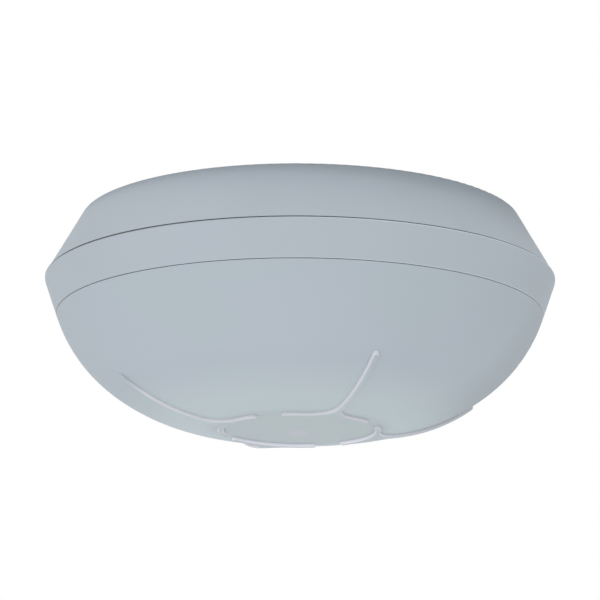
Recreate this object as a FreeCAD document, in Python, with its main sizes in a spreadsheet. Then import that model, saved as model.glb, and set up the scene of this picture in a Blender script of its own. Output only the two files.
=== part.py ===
import FreeCAD, Part
import math
import os
from types import SimpleNamespace

import Sketcher

# Ceiling motion detector, hanging dome down from the ceiling plane z = 0
# Driving sizes in millimetres and degrees
SIZES = {
    # Conical housing of the base
    "base_top_radius": 61.0,
    "base_foot_radius": 70.6,
    "base_height": 16.9,
    "base_wall": 2.2,
    "base_corner": 1.0,
    "ceiling_plate": 2.4,
    # Fixings and wire entry in the ceiling plate
    "box_screw_spacing": 88.9,
    "box_screw_hole_radius": 2.3,
    "wire_entry_length": 24.0,
    "wire_entry_width": 10.0,
    "wire_entry_offset": 50.0,
    "wire_entry_corner": 2.0,
    # Spigot inside the cover ring, with its bayonet lugs
    "lug_tip_gap": 1.35,
    "spigot_wall": 1.8,
    "spigot_depth": 4.6,
    "spigot_shelf": 1.8,
    "spigot_shelf_rise": 2.1,
    "lug_count": 4,
    "lug_thickness": 1.5,
    "lug_reach": 1.5,
    "base_lug_angle": 17.0,
    "ring_lug_angle": 14.0,
    "lug_stop_angle": 3.0,
    "lug_stop_gap_angle": 0.3,
    "lug_gap": 0.3,
    # Cover ring between the two seams
    "seam_gap": 0.4,
    "ring_overhang": 0.4,
    "ring_height": 10.05,
    "ring_taper_angle": 19.0,
    "ring_wall": 2.0,
    "ring_edge": 2.4,
    "ledge_rise": 1.6,
    "ledge_thickness": 1.4,
    "ledge_reach": 1.7,
    # Lens dome
    "lens_gap": 0.2,
    "lens_wall": 1.2,
    "shoulder_radius": 42.5,
    "shoulder_angle": 33.2,
    "crown_radius": 55.3,
    "rim_wall": 1.6,
    "rim_gap": 0.4,
    "lens_boss_count": 4,
    "lens_boss_radius": 2.2,
    "lens_boss_height": 6.0,
    # Raised Y ridges on the dome
    "ridge_count": 4,
    "ridge_height": 1.0,
    "ridge_width": 1.9,
    "ridge_ring_radius": 21.75,
    "ridge_reach": 53.0,
    "ridge_half_angle": 33.0,
    "ridge_branch_radius": 8.0,
    "ridge_turn_angle": 22.5,
    "ridge_rounding": 0.7,
    # Retainer ring that clamps the lens
    "retainer_width": 14.65,
    "retainer_gap": 0.5,
    "retainer_thickness": 1.3,
    "retainer_lip": 1.2,
    "retainer_lip_depth": 2.5,
    "retainer_screw_radius": 0.9,
    "retainer_head_radius": 1.9,
    "retainer_head_height": 1.0,
    "retainer_screw_bite": 4.0,
    # Main board on its bosses
    "board_edge_gap": 6.0,
    "board_thickness": 1.6,
    "board_drop": 9.0,
    "board_notch_length": 30.0,
    "board_notch_margin": 1.0,
    "board_screw_inset": 7.0,
    "board_screw_count": 4,
    "board_screw_angle": 45.0,
    "board_screw_radius": 1.25,
    "board_screw_bite": 5.0,
    "board_boss_radius": 3.2,
    "board_head_radius": 2.8,
    "board_head_height": 1.8,
    "box_screw_access_radius": 5.0,
    # Shares and clearances used all over
    "screw_clearance": 0.05,
    "hole_clearance": 0.2,
    "slot_long_share": 0.7,
    "slot_mouth_share": 0.18,
    "slot_sink_share": 0.5,
    "overrun_share": 1.5,
    # Sensor turret
    "turret_flange_side": 44.0,
    "turret_flange_thickness": 3.0,
    "turret_flange_corner": 4.0,
    "turret_base_side": 34.0,
    "turret_tip_side": 22.0,
    "turret_height": 14.0,
    "turret_wall": 1.6,
    "turret_tip_plate": 2.4,
    "turret_screw_bite": 2.6,
    "turret_screw_count": 4,
    "turret_screw_circle": 27.0,
    "turret_screw_angle": 45.0,
    "turret_screw_radius": 1.0,
    "turret_head_radius": 1.9,
    "turret_head_height": 1.3,
    # Heat sensors in their cans
    "sensor_flange_radius": 4.6,
    "sensor_flange_thickness": 0.5,
    "sensor_can_radius": 4.1,
    "sensor_can_height": 4.0,
    "sensor_window_length": 4.0,
    "sensor_window_width": 3.0,
    "sensor_window_depth": 0.4,
    "sensor_window_gap": 0.05,
    "sensor_lead_count": 3,
    "sensor_lead_angle": 60.0,
    "sensor_lead_radius": 0.23,
    "sensor_lead_circle": 2.54,
    "sensor_lead_length": 4.0,
    "sensor_lead_hole_radius": 3.3,
    # Microwave unit on the turret's tip
    "microwave_board_side": 28.0,
    "microwave_board_thickness": 1.0,
    "microwave_shield_side": 12.0,
    "microwave_shield_height": 5.0,
    "microwave_shield_gap": 0.5,
    "microwave_shield_wall": 0.4,
    "antenna_patch_side": 7.0,
    "antenna_patch_spacing": 12.0,
    "antenna_patch_thickness": 0.3,
    "microwave_screw_count": 2,
    "microwave_screw_circle": 8.75,
    "microwave_screw_radius": 0.8,
    "microwave_screw_bite": 1.8,
    "microwave_head_radius": 1.5,
    "microwave_head_height": 1.0,
    # Terminal block
    "terminal_count": 8,
    "terminal_pitch": 5.08,
    "terminal_depth": 10.0,
    "terminal_height": 10.0,
    "terminal_wire_gap": 12.0,
    "terminal_mouth_side": 3.4,
    "terminal_mouth_depth": 6.0,
    "terminal_screw_radius": 1.6,
    "terminal_well_depth": 3.0,
    "terminal_screw_height": 2.0,
    "terminal_bevel": 0.6,
    # Relay, controller, regulator and capacitors on the board
    "relay_length": 15.0,
    "relay_width": 10.0,
    "relay_height": 11.0,
    "relay_inset": 14.0,
    "relay_place_angle": -27.8,
    "controller_side": 10.0,
    "controller_height": 1.4,
    "controller_inset": 19.3,
    "controller_place_angle": 263.9,
    "regulator_length": 6.5,
    "regulator_width": 6.0,
    "regulator_height": 2.3,
    "regulator_inset": 17.3,
    "regulator_place_angle": 139.1,
    "capacitor_radius": 3.15,
    "capacitor_height": 7.7,
    "capacitor_neck_height": 1.8,
    "capacitor_neck_depth": 0.4,
    "capacitor_inset": 12.0,
    "capacitor_place_angle": 17.0,
    "capacitor_step_angle": 12.0,
    "small_part_edge": 0.5,
    # Tamper switch under the retainer
    "tamper_side": 6.0,
    "tamper_height": 3.6,
    "tamper_inset": 2.0,
    "tamper_place_angle": 200.0,
    "tamper_collar_radius": 2.6,
    "tamper_collar_height": 1.4,
    "plunger_radius": 1.75,
    "plunger_fit": 0.05,
    "plunger_travel_room": 0.9,
    "plunger_floor": 0.8,
    "plunger_gap": 0.3,
    # Range trimmer
    "trimmer_side": 9.5,
    "trimmer_height": 4.8,
    "trimmer_inset": 14.0,
    "trimmer_place_angle": 207.8,
    "rotor_radius": 3.0,
    "rotor_fit": 0.05,
    "rotor_height": 2.0,
    "rotor_seat": 0.3,
    "rotor_slot_width": 0.8,
    "rotor_slot_depth": 1.0,
    # Jumper header and cap
    "jumper_pin_count": 3,
    "jumper_pitch": 2.54,
    "jumper_base_height": 2.5,
    "jumper_pin_side": 0.64,
    "jumper_pin_height": 8.5,
    "jumper_inset": 18.1,
    "jumper_place_angle": 162.0,
    "jumper_cap_height": 5.0,
    "jumper_cap_wall": 0.5,
    "jumper_cap_gap": 0.1,
    # Walk-test lamps
    "lamp_radius": 1.5,
    "lamp_flange_radius": 1.7,
    "lamp_flange_height": 1.0,
    "lamp_height": 5.3,
    "lamp_spacing": 6.0,
    "lamp_inset": 8.0,
}

document = FreeCAD.newDocument("ceiling_motion_detector")
sheet = document.addObject("Spreadsheet::Sheet", "Sizes")
for row, (alias, amount) in enumerate(SIZES.items(), start=1):
    sheet.set("A%d" % row, alias)
    sheet.set("B%d" % row, str(amount))
    sheet.setAlias("B%d" % row, alias)
document.recompute()


class Size:
    """A number together with the sheet expression that gives it."""

    def __init__(self, value, text):
        self.value = value
        self.text = text

    def __add__(self, other):
        return joined(self, "+", other, self.value + as_size(other).value)

    def __radd__(self, other):
        return as_size(other) + self

    def __sub__(self, other):
        return joined(self, "-", other, self.value - as_size(other).value)

    def __rsub__(self, other):
        return as_size(other) - self

    def __mul__(self, other):
        return joined(self, "*", other, self.value * as_size(other).value)

    def __rmul__(self, other):
        return as_size(other) * self

    def __truediv__(self, other):
        return joined(self, "/", other, self.value / as_size(other).value)

    def __neg__(self):
        return 0 - self


def as_size(item):
    """Give a plain number the form of a size."""
    if isinstance(item, Size):
        return item
    return Size(float(item), "%.6f" % item)


def joined(left, sign, right, value):
    """Write one step of arithmetic as a sheet expression."""
    return Size(value, "(%s %s %s)" % (as_size(left).text, sign, as_size(right).text))


def cosine(angle):
    return Size(math.cos(math.radians(angle.value)), "cos(%s)" % angle.text)


def sine(angle):
    return Size(math.sin(math.radians(angle.value)), "sin(%s)" % angle.text)


def tangent(angle):
    return Size(math.tan(math.radians(angle.value)), "tan(%s)" % angle.text)


def root(item):
    return Size(math.sqrt(item.value), "sqrt(%s)" % item.text)


def arc_sine(item):
    return Size(math.degrees(math.asin(item.value)), "(asin(%s) / 1 deg)" % item.text)


def arc_tangent(item):
    return Size(math.degrees(math.atan(item.value)), "(atan(%s) / 1 deg)" % item.text)


ZERO = Size(0.0, "0")
size = SimpleNamespace(**{name: Size(value, "Sizes." + name) for name, value in SIZES.items()})


# Drawing helpers

def origin_item(body, role):
    """Find one of the body's own planes or axes."""
    return next(item for item in body.Origin.OriginFeatures if item.Role == role)


def new_body(name):
    body = document.addObject("PartDesign::Body", name)
    body.Label = name
    return body


def new_sketch(body, name, plane, lift=ZERO):
    """Add a sketch on a plane of the body, raised along its normal."""
    sketch = body.newObject("Sketcher::SketchObject", name)
    sketch.AttachmentSupport = [(origin_item(body, plane), "")]
    sketch.MapMode = "FlatFace"
    sketch.AttachmentOffset = FreeCAD.Placement(FreeCAD.Vector(0, 0, lift.value), FreeCAD.Rotation())
    sketch.setExpression("AttachmentOffset.Base.z", lift.text)
    return sketch


def hold_point(sketch, element, point, x, y):
    """Fix a point of the sketch at two sizes from its origin."""
    for kind, amount, axis in (("DistanceX", x, -2), ("DistanceY", y, -1)):
        if amount is ZERO:
            sketch.addConstraint(Sketcher.Constraint("PointOnObject", element, point, axis))
        elif amount.value >= 0:
            index = sketch.addConstraint(Sketcher.Constraint(kind, -1, 1, element, point, amount.value))
            sketch.setExpression("Constraints[%d]" % index, amount.text)
        else:
            turned = -amount
            index = sketch.addConstraint(Sketcher.Constraint(kind, element, point, -1, 1, turned.value))
            sketch.setExpression("Constraints[%d]" % index, turned.text)


def hold_radius(sketch, element, radius):
    index = sketch.addConstraint(Sketcher.Constraint("Radius", element, radius.value))
    sketch.setExpression("Constraints[%d]" % index, radius.text)


def arc_between(start, end, radius, side):
    """Make the short arc from start to end; side 1 turns left, side -1 turns right."""
    chord = end - start
    middle = (start + end) * 0.5
    height = math.sqrt(max(radius ** 2 - (chord.Length / 2) ** 2, 0.0))
    across = FreeCAD.Vector(-chord.y, chord.x, 0).normalize()
    centre = middle + across * (height * side)
    bulge = (middle - centre)
    if bulge.Length < 1e-9:
        bulge = across * -side
    top = centre + bulge.normalize() * radius
    return Part.Arc(start, top, end)


def closed_outline(sketch, points):
    """Draw a closed outline; a point with a radius and a side is reached by an arc."""
    corners = [FreeCAD.Vector(point[0].value, point[1].value, 0) for point in points]
    first = sketch.GeometryCount
    count = len(points)
    for index in range(count):
        following = (index + 1) % count
        start, end = corners[index], corners[following]
        if len(points[following]) == 2:
            sketch.addGeometry(Part.LineSegment(start, end), False)
        else:
            radius, side = points[following][2:]
            sketch.addGeometry(arc_between(start, end, radius.value, side), False)
    ends = []
    for index in range(count):
        following = (index + 1) % count
        arc = len(points[following]) == 4
        turned_right = arc and points[following][3] < 0
        ends.append((2, 1) if turned_right else (1, 2))
    for index in range(count):
        following = (index + 1) % count
        sketch.addConstraint(Sketcher.Constraint(
            "Coincident", first + index, ends[index][1], first + following, ends[following][0]))
        hold_point(sketch, first + index, ends[index][0], points[index][0], points[index][1])
        if len(points[following]) == 4:
            hold_radius(sketch, first + index, points[following][2])


def circle(sketch, x, y, radius):
    centre = FreeCAD.Vector(x.value, y.value, 0)
    element = sketch.addGeometry(Part.Circle(centre, FreeCAD.Vector(0, 0, 1), radius.value), False)
    hold_point(sketch, element, 3, x, y)
    hold_radius(sketch, element, radius)


def rectangle(sketch, x, y, length, width):
    """Draw a rectangle centred on a point."""
    left, right = x - length / 2, x + length / 2
    low, high = y - width / 2, y + width / 2
    closed_outline(sketch, [(left, low), (right, low), (right, high), (left, high)])


def rounded_rectangle(sketch, x, y, length, width, corner):
    left, right = x - length / 2, x + length / 2
    low, high = y - width / 2, y + width / 2
    closed_outline(sketch, [
        (left + corner, low, corner, 1), (right - corner, low),
        (right, low + corner, corner, 1), (right, high - corner),
        (right - corner, high, corner, 1), (left + corner, high),
        (left, high - corner, corner, 1), (left, low + corner)])


def ring_sector(sketch, inner, outer, start_angle, end_angle):
    """Draw the part of a flat ring between two angles."""
    start_cos, start_sin = cosine(start_angle), sine(start_angle)
    end_cos, end_sin = cosine(end_angle), sine(end_angle)
    closed_outline(sketch, [
        (inner * start_cos, inner * start_sin, inner, -1), (outer * start_cos, outer * start_sin),
        (outer * end_cos, outer * end_sin, outer, 1), (inner * end_cos, inner * end_sin)])


# Feature helpers

def revolve(body, sketch):
    """Turn the sketch round the body's upright axis."""
    feature = body.newObject("PartDesign::Revolution", sketch.Name + "_turned")
    feature.Profile = sketch
    feature.ReferenceAxis = (sketch, ["V_Axis"])
    feature.Angle = 360
    return feature


def pad(body, sketch, length, downwards=False):
    feature = body.newObject("PartDesign::Pad", sketch.Name + "_pad")
    feature.Profile = sketch
    feature.Length = length.value
    feature.setExpression("Length", length.text)
    feature.Reversed = downwards
    return feature


def pocket(body, sketch, depth, along_normal=False):
    """Cut the sketch into the body and make sure that it removes something."""
    document.recompute()
    before = body.Shape.Volume
    feature = body.newObject("PartDesign::Pocket", sketch.Name + "_cut")
    feature.Profile = sketch
    feature.Length = depth.value
    feature.setExpression("Length", depth.text)
    feature.Reversed = along_normal
    document.recompute()
    if not body.Shape.Volume < before:
        raise RuntimeError(sketch.Name + " cuts nothing")
    return feature


def repeat_round(body, name, features, count):
    """Repeat features evenly round the body's upright axis."""
    pattern = body.newObject("PartDesign::PolarPattern", name)
    pattern.Originals = features
    pattern.Axis = (origin_item(body, "Z_Axis"), [""])
    pattern.Angle = 360
    pattern.Occurrences = int(count.value)
    pattern.setExpression("Occurrences", count.text)
    body.Tip = pattern
    return pattern


def soften(body, name, radius, wanted, kind="PartDesign::Fillet"):
    """Round or bevel the edges of the body's last feature that are wanted."""
    document.recompute()
    base = body.Tip
    edges = ["Edge%d" % (index + 1) for index, edge in enumerate(base.Shape.Edges) if wanted(edge)]
    if not edges:
        raise RuntimeError(name + " finds no edge")
    feature = body.newObject(kind, name)
    feature.Base = (base, edges)
    cell = "Radius" if kind == "PartDesign::Fillet" else "Size"
    setattr(feature, cell, radius.value)
    feature.setExpression(cell, radius.text)
    return feature


def is_upright(edge):
    """Tell whether an edge is a straight line along the upright axis."""
    if edge.Curve.TypeId != "Part::GeomLine":
        return False
    return abs(edge.tangentAt(edge.FirstParameter).z) > 0.999


def circle_at(height, radius):
    """Make a test for the circle of that radius at that height."""
    def wanted(edge):
        if edge.Curve.TypeId != "Part::GeomCircle":
            return False
        same_height = abs(edge.BoundBox.ZMax - height.value) < 1e-4 and edge.BoundBox.ZLength < 1e-4
        return same_height and abs(edge.Curve.Radius - radius.value) < 1e-4
    return wanted


def flat_at(height):
    """Make a test for edges that lie flat at that height."""
    def wanted(edge):
        box = edge.BoundBox
        return abs(box.ZMax - height.value) < 1e-4 and box.ZLength < 1e-4
    return wanted


def place(item, x=ZERO, y=ZERO, z=ZERO, turn=ZERO):
    """Put an object at a place bound to the sheet, turned about the upright axis."""
    spot = FreeCAD.Vector(x.value, y.value, z.value)
    item.Placement = FreeCAD.Placement(spot, FreeCAD.Rotation(FreeCAD.Vector(0, 0, 1), turn.value))
    item.setExpression("Placement.Base.x", x.text)
    item.setExpression("Placement.Base.y", y.text)
    item.setExpression("Placement.Base.z", z.text)
    item.setExpression("Placement.Rotation.Angle", turn.text)


def screw_group(name, places, seat, head, shank, heads_down):
    """Make like screws side by side: head and shank are each a radius and a length."""
    body = new_body(name)
    head_sketch = new_sketch(body, name + "_heads", "XY_Plane", seat)
    shank_sketch = new_sketch(body, name + "_shanks", "XY_Plane", seat)
    tip = seat - head[1] if heads_down else seat + head[1]
    slot_sketch = new_sketch(body, name + "_slots", "XY_Plane", tip)
    for x, y in places:
        circle(head_sketch, x, y, head[0])
        circle(shank_sketch, x, y, shank[0])
        rectangle(slot_sketch, x, y, head[0] * 2 * size.slot_long_share,
                  head[0] * 2 * size.slot_mouth_share)
    pad(body, head_sketch, head[1], heads_down)
    pad(body, shank_sketch, shank[1], not heads_down)
    pocket(body, slot_sketch, head[1] * size.slot_sink_share, heads_down)
    return body


def on_circle(radius, angle):
    """Give the point of a circle at an angle."""
    return radius * cosine(angle), radius * sine(angle)


def round_places(circle_radius, count, first_angle):
    """List the centres of things spaced evenly on a circle."""
    step = as_size(360) / count
    angles = [first_angle + step * index for index in range(int(count.value))]
    return [on_circle(circle_radius, angle) for angle in angles]


def row_places(pitch, count):
    """List the centres of things spaced evenly in a row about zero."""
    first = -pitch * (count - 1) / 2
    return [first + pitch * index for index in range(int(count.value))]


# Heights and radii worked out once and shared by the pieces that meet there
base_slope = (size.base_foot_radius - size.base_top_radius) / size.base_height
base_lean = 90 - arc_tangent(base_slope)
base_corner_reach = size.base_corner * tangent(base_lean / 2)
base_wall_across = size.base_wall * root(1 + base_slope * base_slope)
plate_under = -size.ceiling_plate
base_foot = -size.base_height
shelf_under = base_foot + size.spigot_shelf_rise
shelf_top = shelf_under + size.spigot_shelf
spigot_end = base_foot - size.spigot_depth
base_lug_top = spigot_end + size.lug_thickness
ring_lug_under = base_lug_top + size.lug_gap
ring_lug_top = ring_lug_under + size.lug_thickness

ring_top_radius = size.base_foot_radius + size.ring_overhang
ring_top = base_foot - size.seam_gap
ring_edge_reach = size.ring_edge * tangent(size.ring_taper_angle / 2)
ring_foot = ring_top - size.ring_height
ring_wall_across = size.ring_wall / cosine(size.ring_taper_angle)
ledge_under = ring_foot + size.ledge_rise
ledge_top = ledge_under + size.ledge_thickness
lens_top = ring_foot - size.lens_gap
rim_top = ledge_under - size.lens_gap


def base_inner_at(height):
    """Radius of the base cone's inside at a height."""
    return size.base_top_radius - height * base_slope - base_wall_across


def ring_outer_at(height):
    """Radius of the cover ring's outside at a height."""
    return ring_top_radius - (ring_top - ring_edge_reach - height) * tangent(size.ring_taper_angle)


def ring_inner_at(height):
    return ring_outer_at(height) - ring_wall_across


spigot_radius = ring_inner_at(spigot_end) - size.lug_tip_gap - size.lug_reach
spigot_inner = spigot_radius - size.spigot_wall
ledge_edge = ring_inner_at(ledge_under) - size.ledge_reach
lens_boss_circle = ledge_edge - size.lens_gap - size.lens_boss_radius
lens_screw_places = round_places(lens_boss_circle, size.lens_boss_count, ZERO)
retainer_top = ledge_top + size.retainer_thickness
retainer_outer = ring_inner_at(ledge_top) - size.retainer_gap
retainer_inner = retainer_outer - size.retainer_width

board_under = -(size.board_drop + size.board_thickness)
board_radius = spigot_inner - size.board_edge_gap
terminal_y = size.wire_entry_offset - size.terminal_wire_gap
sensor_turn = -size.ridge_turn_angle
board_screw_places = round_places(
    board_radius - size.board_screw_inset, size.board_screw_count, size.board_screw_angle)
turret_seat = board_under - size.turret_flange_thickness
turret_tip = board_under - size.turret_height
turret_screw_places = round_places(
    size.turret_screw_circle, size.turret_screw_count, size.turret_screw_angle + sensor_turn)
microwave_screw_places = round_places(size.microwave_screw_circle, size.microwave_screw_count, sensor_turn)
microwave_under = turret_tip - size.microwave_board_thickness


# Mounting base: cone, ceiling plate, spigot with bayonet lugs, board bosses

def build_mounting_base():
    body = new_body("mounting_base")
    shell = new_sketch(body, "base_section", "XZ_Plane")
    closed_outline(shell, [
        (ZERO, ZERO), (size.base_top_radius - base_corner_reach, ZERO),
        (size.base_top_radius + base_corner_reach * cosine(base_lean),
         -base_corner_reach * sine(base_lean), size.base_corner, -1),
        (size.base_foot_radius, base_foot),
        (size.base_foot_radius - base_wall_across, base_foot), (base_inner_at(shelf_under), shelf_under),
        (spigot_radius, shelf_under), (spigot_radius, spigot_end),
        (spigot_inner, spigot_end), (spigot_inner, shelf_top),
        (base_inner_at(shelf_top), shelf_top), (base_inner_at(plate_under), plate_under),
        (ZERO, plate_under)])
    revolve(body, shell)

    bosses = new_sketch(body, "base_bosses", "XY_Plane", plate_under + size.ceiling_plate / 2)
    for x, y in board_screw_places:
        circle(bosses, x, y, size.board_boss_radius)
    pad(body, bosses, size.board_drop - size.ceiling_plate / 2, downwards=True)
    pilots = new_sketch(body, "base_boss_pilots", "XY_Plane", -size.board_drop)
    for x, y in board_screw_places:
        circle(pilots, x, y, size.board_screw_radius + size.screw_clearance)
    pocket(body, pilots, size.board_screw_bite + size.hole_clearance, along_normal=True)

    box_holes = new_sketch(body, "base_box_screw_holes", "XY_Plane")
    circle(box_holes, size.box_screw_spacing / 2, ZERO, size.box_screw_hole_radius)
    circle(box_holes, -size.box_screw_spacing / 2, ZERO, size.box_screw_hole_radius)
    pocket(body, box_holes, size.ceiling_plate * size.overrun_share)
    entry = new_sketch(body, "base_wire_entry", "XY_Plane")
    rounded_rectangle(entry, ZERO, size.wire_entry_offset, size.wire_entry_length,
                      size.wire_entry_width, size.wire_entry_corner)
    pocket(body, entry, size.ceiling_plate * size.overrun_share)

    lug_root = spigot_radius - size.spigot_wall / 2
    lug_tip = spigot_radius + size.lug_reach
    half = size.base_lug_angle / 2
    lug = new_sketch(body, "base_lug", "XY_Plane", spigot_end)
    ring_sector(lug, lug_root, lug_tip, -half, half)
    lug_pad = pad(body, lug, size.lug_thickness)
    stop = new_sketch(body, "base_lug_stop", "XY_Plane", spigot_end)
    stop_start = size.ring_lug_angle / 2 + size.lug_stop_gap_angle
    ring_sector(stop, lug_root, lug_tip, stop_start, stop_start + size.lug_stop_angle)
    stop_pad = pad(body, stop, ring_lug_top - spigot_end)
    repeat_round(body, "base_lugs", [lug_pad, stop_pad], size.lug_count)
    return body


# Cover ring: tapered band with the lens ledge and inward bayonet lugs

def build_cover_ring():
    body = new_body("cover_ring")
    band = new_sketch(body, "ring_section", "XZ_Plane")
    closed_outline(band, [
        (ring_top_radius, ring_top),
        (ring_top_radius - ring_edge_reach * sine(size.ring_taper_angle),
         ring_top - ring_edge_reach * (1 + cosine(size.ring_taper_angle)), size.ring_edge, -1),
        (ring_outer_at(ring_foot), ring_foot),
        (ring_inner_at(ring_foot), ring_foot), (ring_inner_at(ledge_under), ledge_under),
        (ledge_edge, ledge_under), (ledge_edge, ledge_top),
        (ring_inner_at(ledge_top), ledge_top), (ring_inner_at(ring_top), ring_top)])
    revolve(body, band)
    lug = new_sketch(body, "ring_lug", "XY_Plane", ring_lug_under)
    lug_inner = spigot_radius + size.lug_gap
    lug_outer = ring_inner_at(ring_lug_top) + ring_wall_across / 2
    ring_sector(lug, lug_inner, lug_outer, -size.ring_lug_angle / 2, size.ring_lug_angle / 2)
    lug_pad = pad(body, lug, size.lug_thickness)
    repeat_round(body, "ring_lugs", [lug_pad], size.lug_count)
    return body


# Lens dome: two arcs and a flat apex, with the rim that enters the ring

def dome_curve(outward):
    """Give the dome's points on a skin that lies outward from its outer face."""
    lean = size.ring_taper_angle
    turned = lean + size.shoulder_angle
    lens_radius = ring_outer_at(lens_top)
    shoulder_x = lens_radius - size.shoulder_radius * cosine(lean)
    shoulder_z = lens_top + size.shoulder_radius * sine(lean)
    crown_step = size.shoulder_radius - size.crown_radius
    crown_x = shoulder_x + crown_step * cosine(turned)
    crown_z = shoulder_z - crown_step * sine(turned)
    shoulder, crown = size.shoulder_radius + outward, size.crown_radius + outward
    return SimpleNamespace(
        start=(lens_radius + outward * cosine(lean), lens_top - outward * sine(lean)),
        joint=(shoulder_x + shoulder * cosine(turned), shoulder_z - shoulder * sine(turned)),
        crown_end=(crown_x, crown_z - crown), apex=(ZERO, crown_z - crown),
        centre=(shoulder_x, shoulder_z), shoulder=shoulder, crown=crown)


def build_lens_shell():
    body = new_body("lens_shell")
    outer, inner = dome_curve(ZERO), dome_curve(-size.lens_wall)
    shelf = lens_top - size.lens_wall
    shelf_angle = arc_sine((inner.centre[1] - shelf) / inner.shoulder)
    shelf_outer = inner.centre[0] + inner.shoulder * cosine(shelf_angle)
    rim_outer = ring_inner_at(ring_foot) - size.rim_gap
    rim_inner = rim_outer - size.rim_wall
    section = new_sketch(body, "lens_section", "XZ_Plane")
    closed_outline(section, [
        outer.start, outer.joint + (outer.shoulder, -1), outer.crown_end + (outer.crown, -1),
        outer.apex, inner.apex, inner.crown_end, inner.joint + (inner.crown, 1),
        (shelf_outer, shelf, inner.shoulder, 1), (rim_inner, shelf), (rim_inner, rim_top),
        (rim_outer, rim_top), (rim_outer, lens_top)])
    revolve(body, section)
    posts = new_sketch(body, "lens_posts", "XY_Plane", ledge_top)
    for x, y in lens_screw_places:
        circle(posts, x, y, size.lens_boss_radius)
    pad(body, posts, size.lens_boss_height, downwards=True)
    pilots = new_sketch(body, "lens_post_pilots", "XY_Plane", ledge_top)
    for x, y in lens_screw_places:
        circle(pilots, x, y, size.retainer_screw_radius + size.screw_clearance)
    pocket(body, pilots, size.retainer_screw_bite + size.hole_clearance)
    return body


def ridge_plan(sketch):
    """Draw one Y ridge seen along the axis: an arm that branches into a stretch of ring."""
    half = size.ridge_width / 2
    inner, outer = size.ridge_ring_radius - half, size.ridge_ring_radius + half
    bend = size.ridge_branch_radius
    bend_y = half + bend
    bend_x = root((outer + bend) * (outer + bend) - bend_y * bend_y)
    share = outer / (outer + bend)
    tip = size.ridge_reach - half
    span_cos, span_sin = cosine(size.ridge_half_angle), sine(size.ridge_half_angle)
    end_x = size.ridge_ring_radius * span_cos - half * span_sin
    end_y = size.ridge_ring_radius * span_sin + half * span_cos
    closed_outline(sketch, [
        (bend_x, -half, bend, -1), (tip, -half), (size.ridge_reach, ZERO, half, 1), (tip, half, half, 1),
        (bend_x, half), (bend_x * share, bend_y * share, bend, -1),
        (outer * span_cos, outer * span_sin, outer, 1), (end_x, end_y, half, 1),
        (inner * span_cos, inner * span_sin, half, 1),
        (inner * span_cos, -inner * span_sin, inner, -1), (end_x, -end_y, half, 1),
        (outer * span_cos, -outer * span_sin, half, 1),
        (bend_x * share, -bend_y * share, outer, 1)])


def build_ridges():
    """Make the four ridges as upright Y prisms cut by the raised skin of the dome."""
    prism = new_body("ridge_prism")
    plan = new_sketch(prism, "ridge_plan", "XY_Plane", lens_top)
    ridge_plan(plan)
    skin = dome_curve(size.ridge_height)
    prism_pad = pad(prism, plan, (lens_top - skin.apex[1]) * size.overrun_share, downwards=True)
    repeat_round(prism, "ridge_prisms", [prism_pad], size.ridge_count)
    place(prism, turn=size.ridge_turn_angle)

    under = dome_curve(-size.lens_wall / 2)
    crown = new_body("ridge_skin")
    section = new_sketch(crown, "ridge_skin_section", "XZ_Plane")
    closed_outline(section, [
        skin.start, skin.joint + (skin.shoulder, -1), skin.crown_end + (skin.crown, -1), skin.apex,
        under.apex, under.crown_end, under.joint + (under.crown, 1),
        under.start + (under.shoulder, 1)])
    revolve(crown, section)
    place(crown, turn=sensor_turn)

    raw = document.addObject("Part::Common", "ridge_stock")
    raw.Base = prism
    raw.Tool = crown
    document.recompute()
    rounded = document.addObject("Part::Fillet", "ridges")
    rounded.Base = raw
    radius = size.ridge_rounding.value
    rounded.Edges = [(index, radius, radius) for index in crest_edges(raw.Shape)]
    return rounded


def crest_edges(shape):
    """List the edges round the top face of each ridge, which is its lowest curved face."""
    crest = []
    for ridge in shape.Solids:
        curved = [face for face in ridge.Faces
                  if face.Surface.TypeId not in ("Part::GeomPlane", "Part::GeomCylinder")]
        top = min(curved, key=lambda face: face.CenterOfMass.z)
        crest.extend(top.OuterWire.Edges)
    return [index + 1 for index, edge in enumerate(shape.Edges) if any(edge.isSame(side) for side in crest)]


def build_lens_dome():
    dome = document.addObject("Part::Fuse", "lens_dome")
    dome.Base = build_lens_shell()
    dome.Tool = build_ridges()
    dome.Label = "lens_dome"
    return dome


# Retainer: flat ring with a turned-down lip, screwed to the lens posts

def build_lens_retainer():
    body = new_body("lens_retainer")
    lip_end = ledge_top - size.retainer_lip_depth
    section = new_sketch(body, "retainer_section", "XZ_Plane")
    closed_outline(section, [
        (retainer_inner, retainer_top), (retainer_inner, lip_end),
        (retainer_inner + size.retainer_lip, lip_end),
        (retainer_inner + size.retainer_lip, ledge_top),
        (retainer_outer, ledge_top), (retainer_outer, retainer_top)])
    revolve(body, section)
    holes = new_sketch(body, "retainer_holes", "XY_Plane", retainer_top)
    for x, y in lens_screw_places:
        circle(holes, x, y, size.retainer_screw_radius + size.hole_clearance)
    pocket(body, holes, size.retainer_thickness * size.overrun_share)
    return body


def build_retainer_screws():
    shank = size.retainer_thickness + size.retainer_screw_bite
    return screw_group("retainer_screws", lens_screw_places, retainer_top,
                       (size.retainer_head_radius, size.retainer_head_height),
                       (size.retainer_screw_radius, shank), heads_down=False)


# Main board, with its screws

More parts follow.
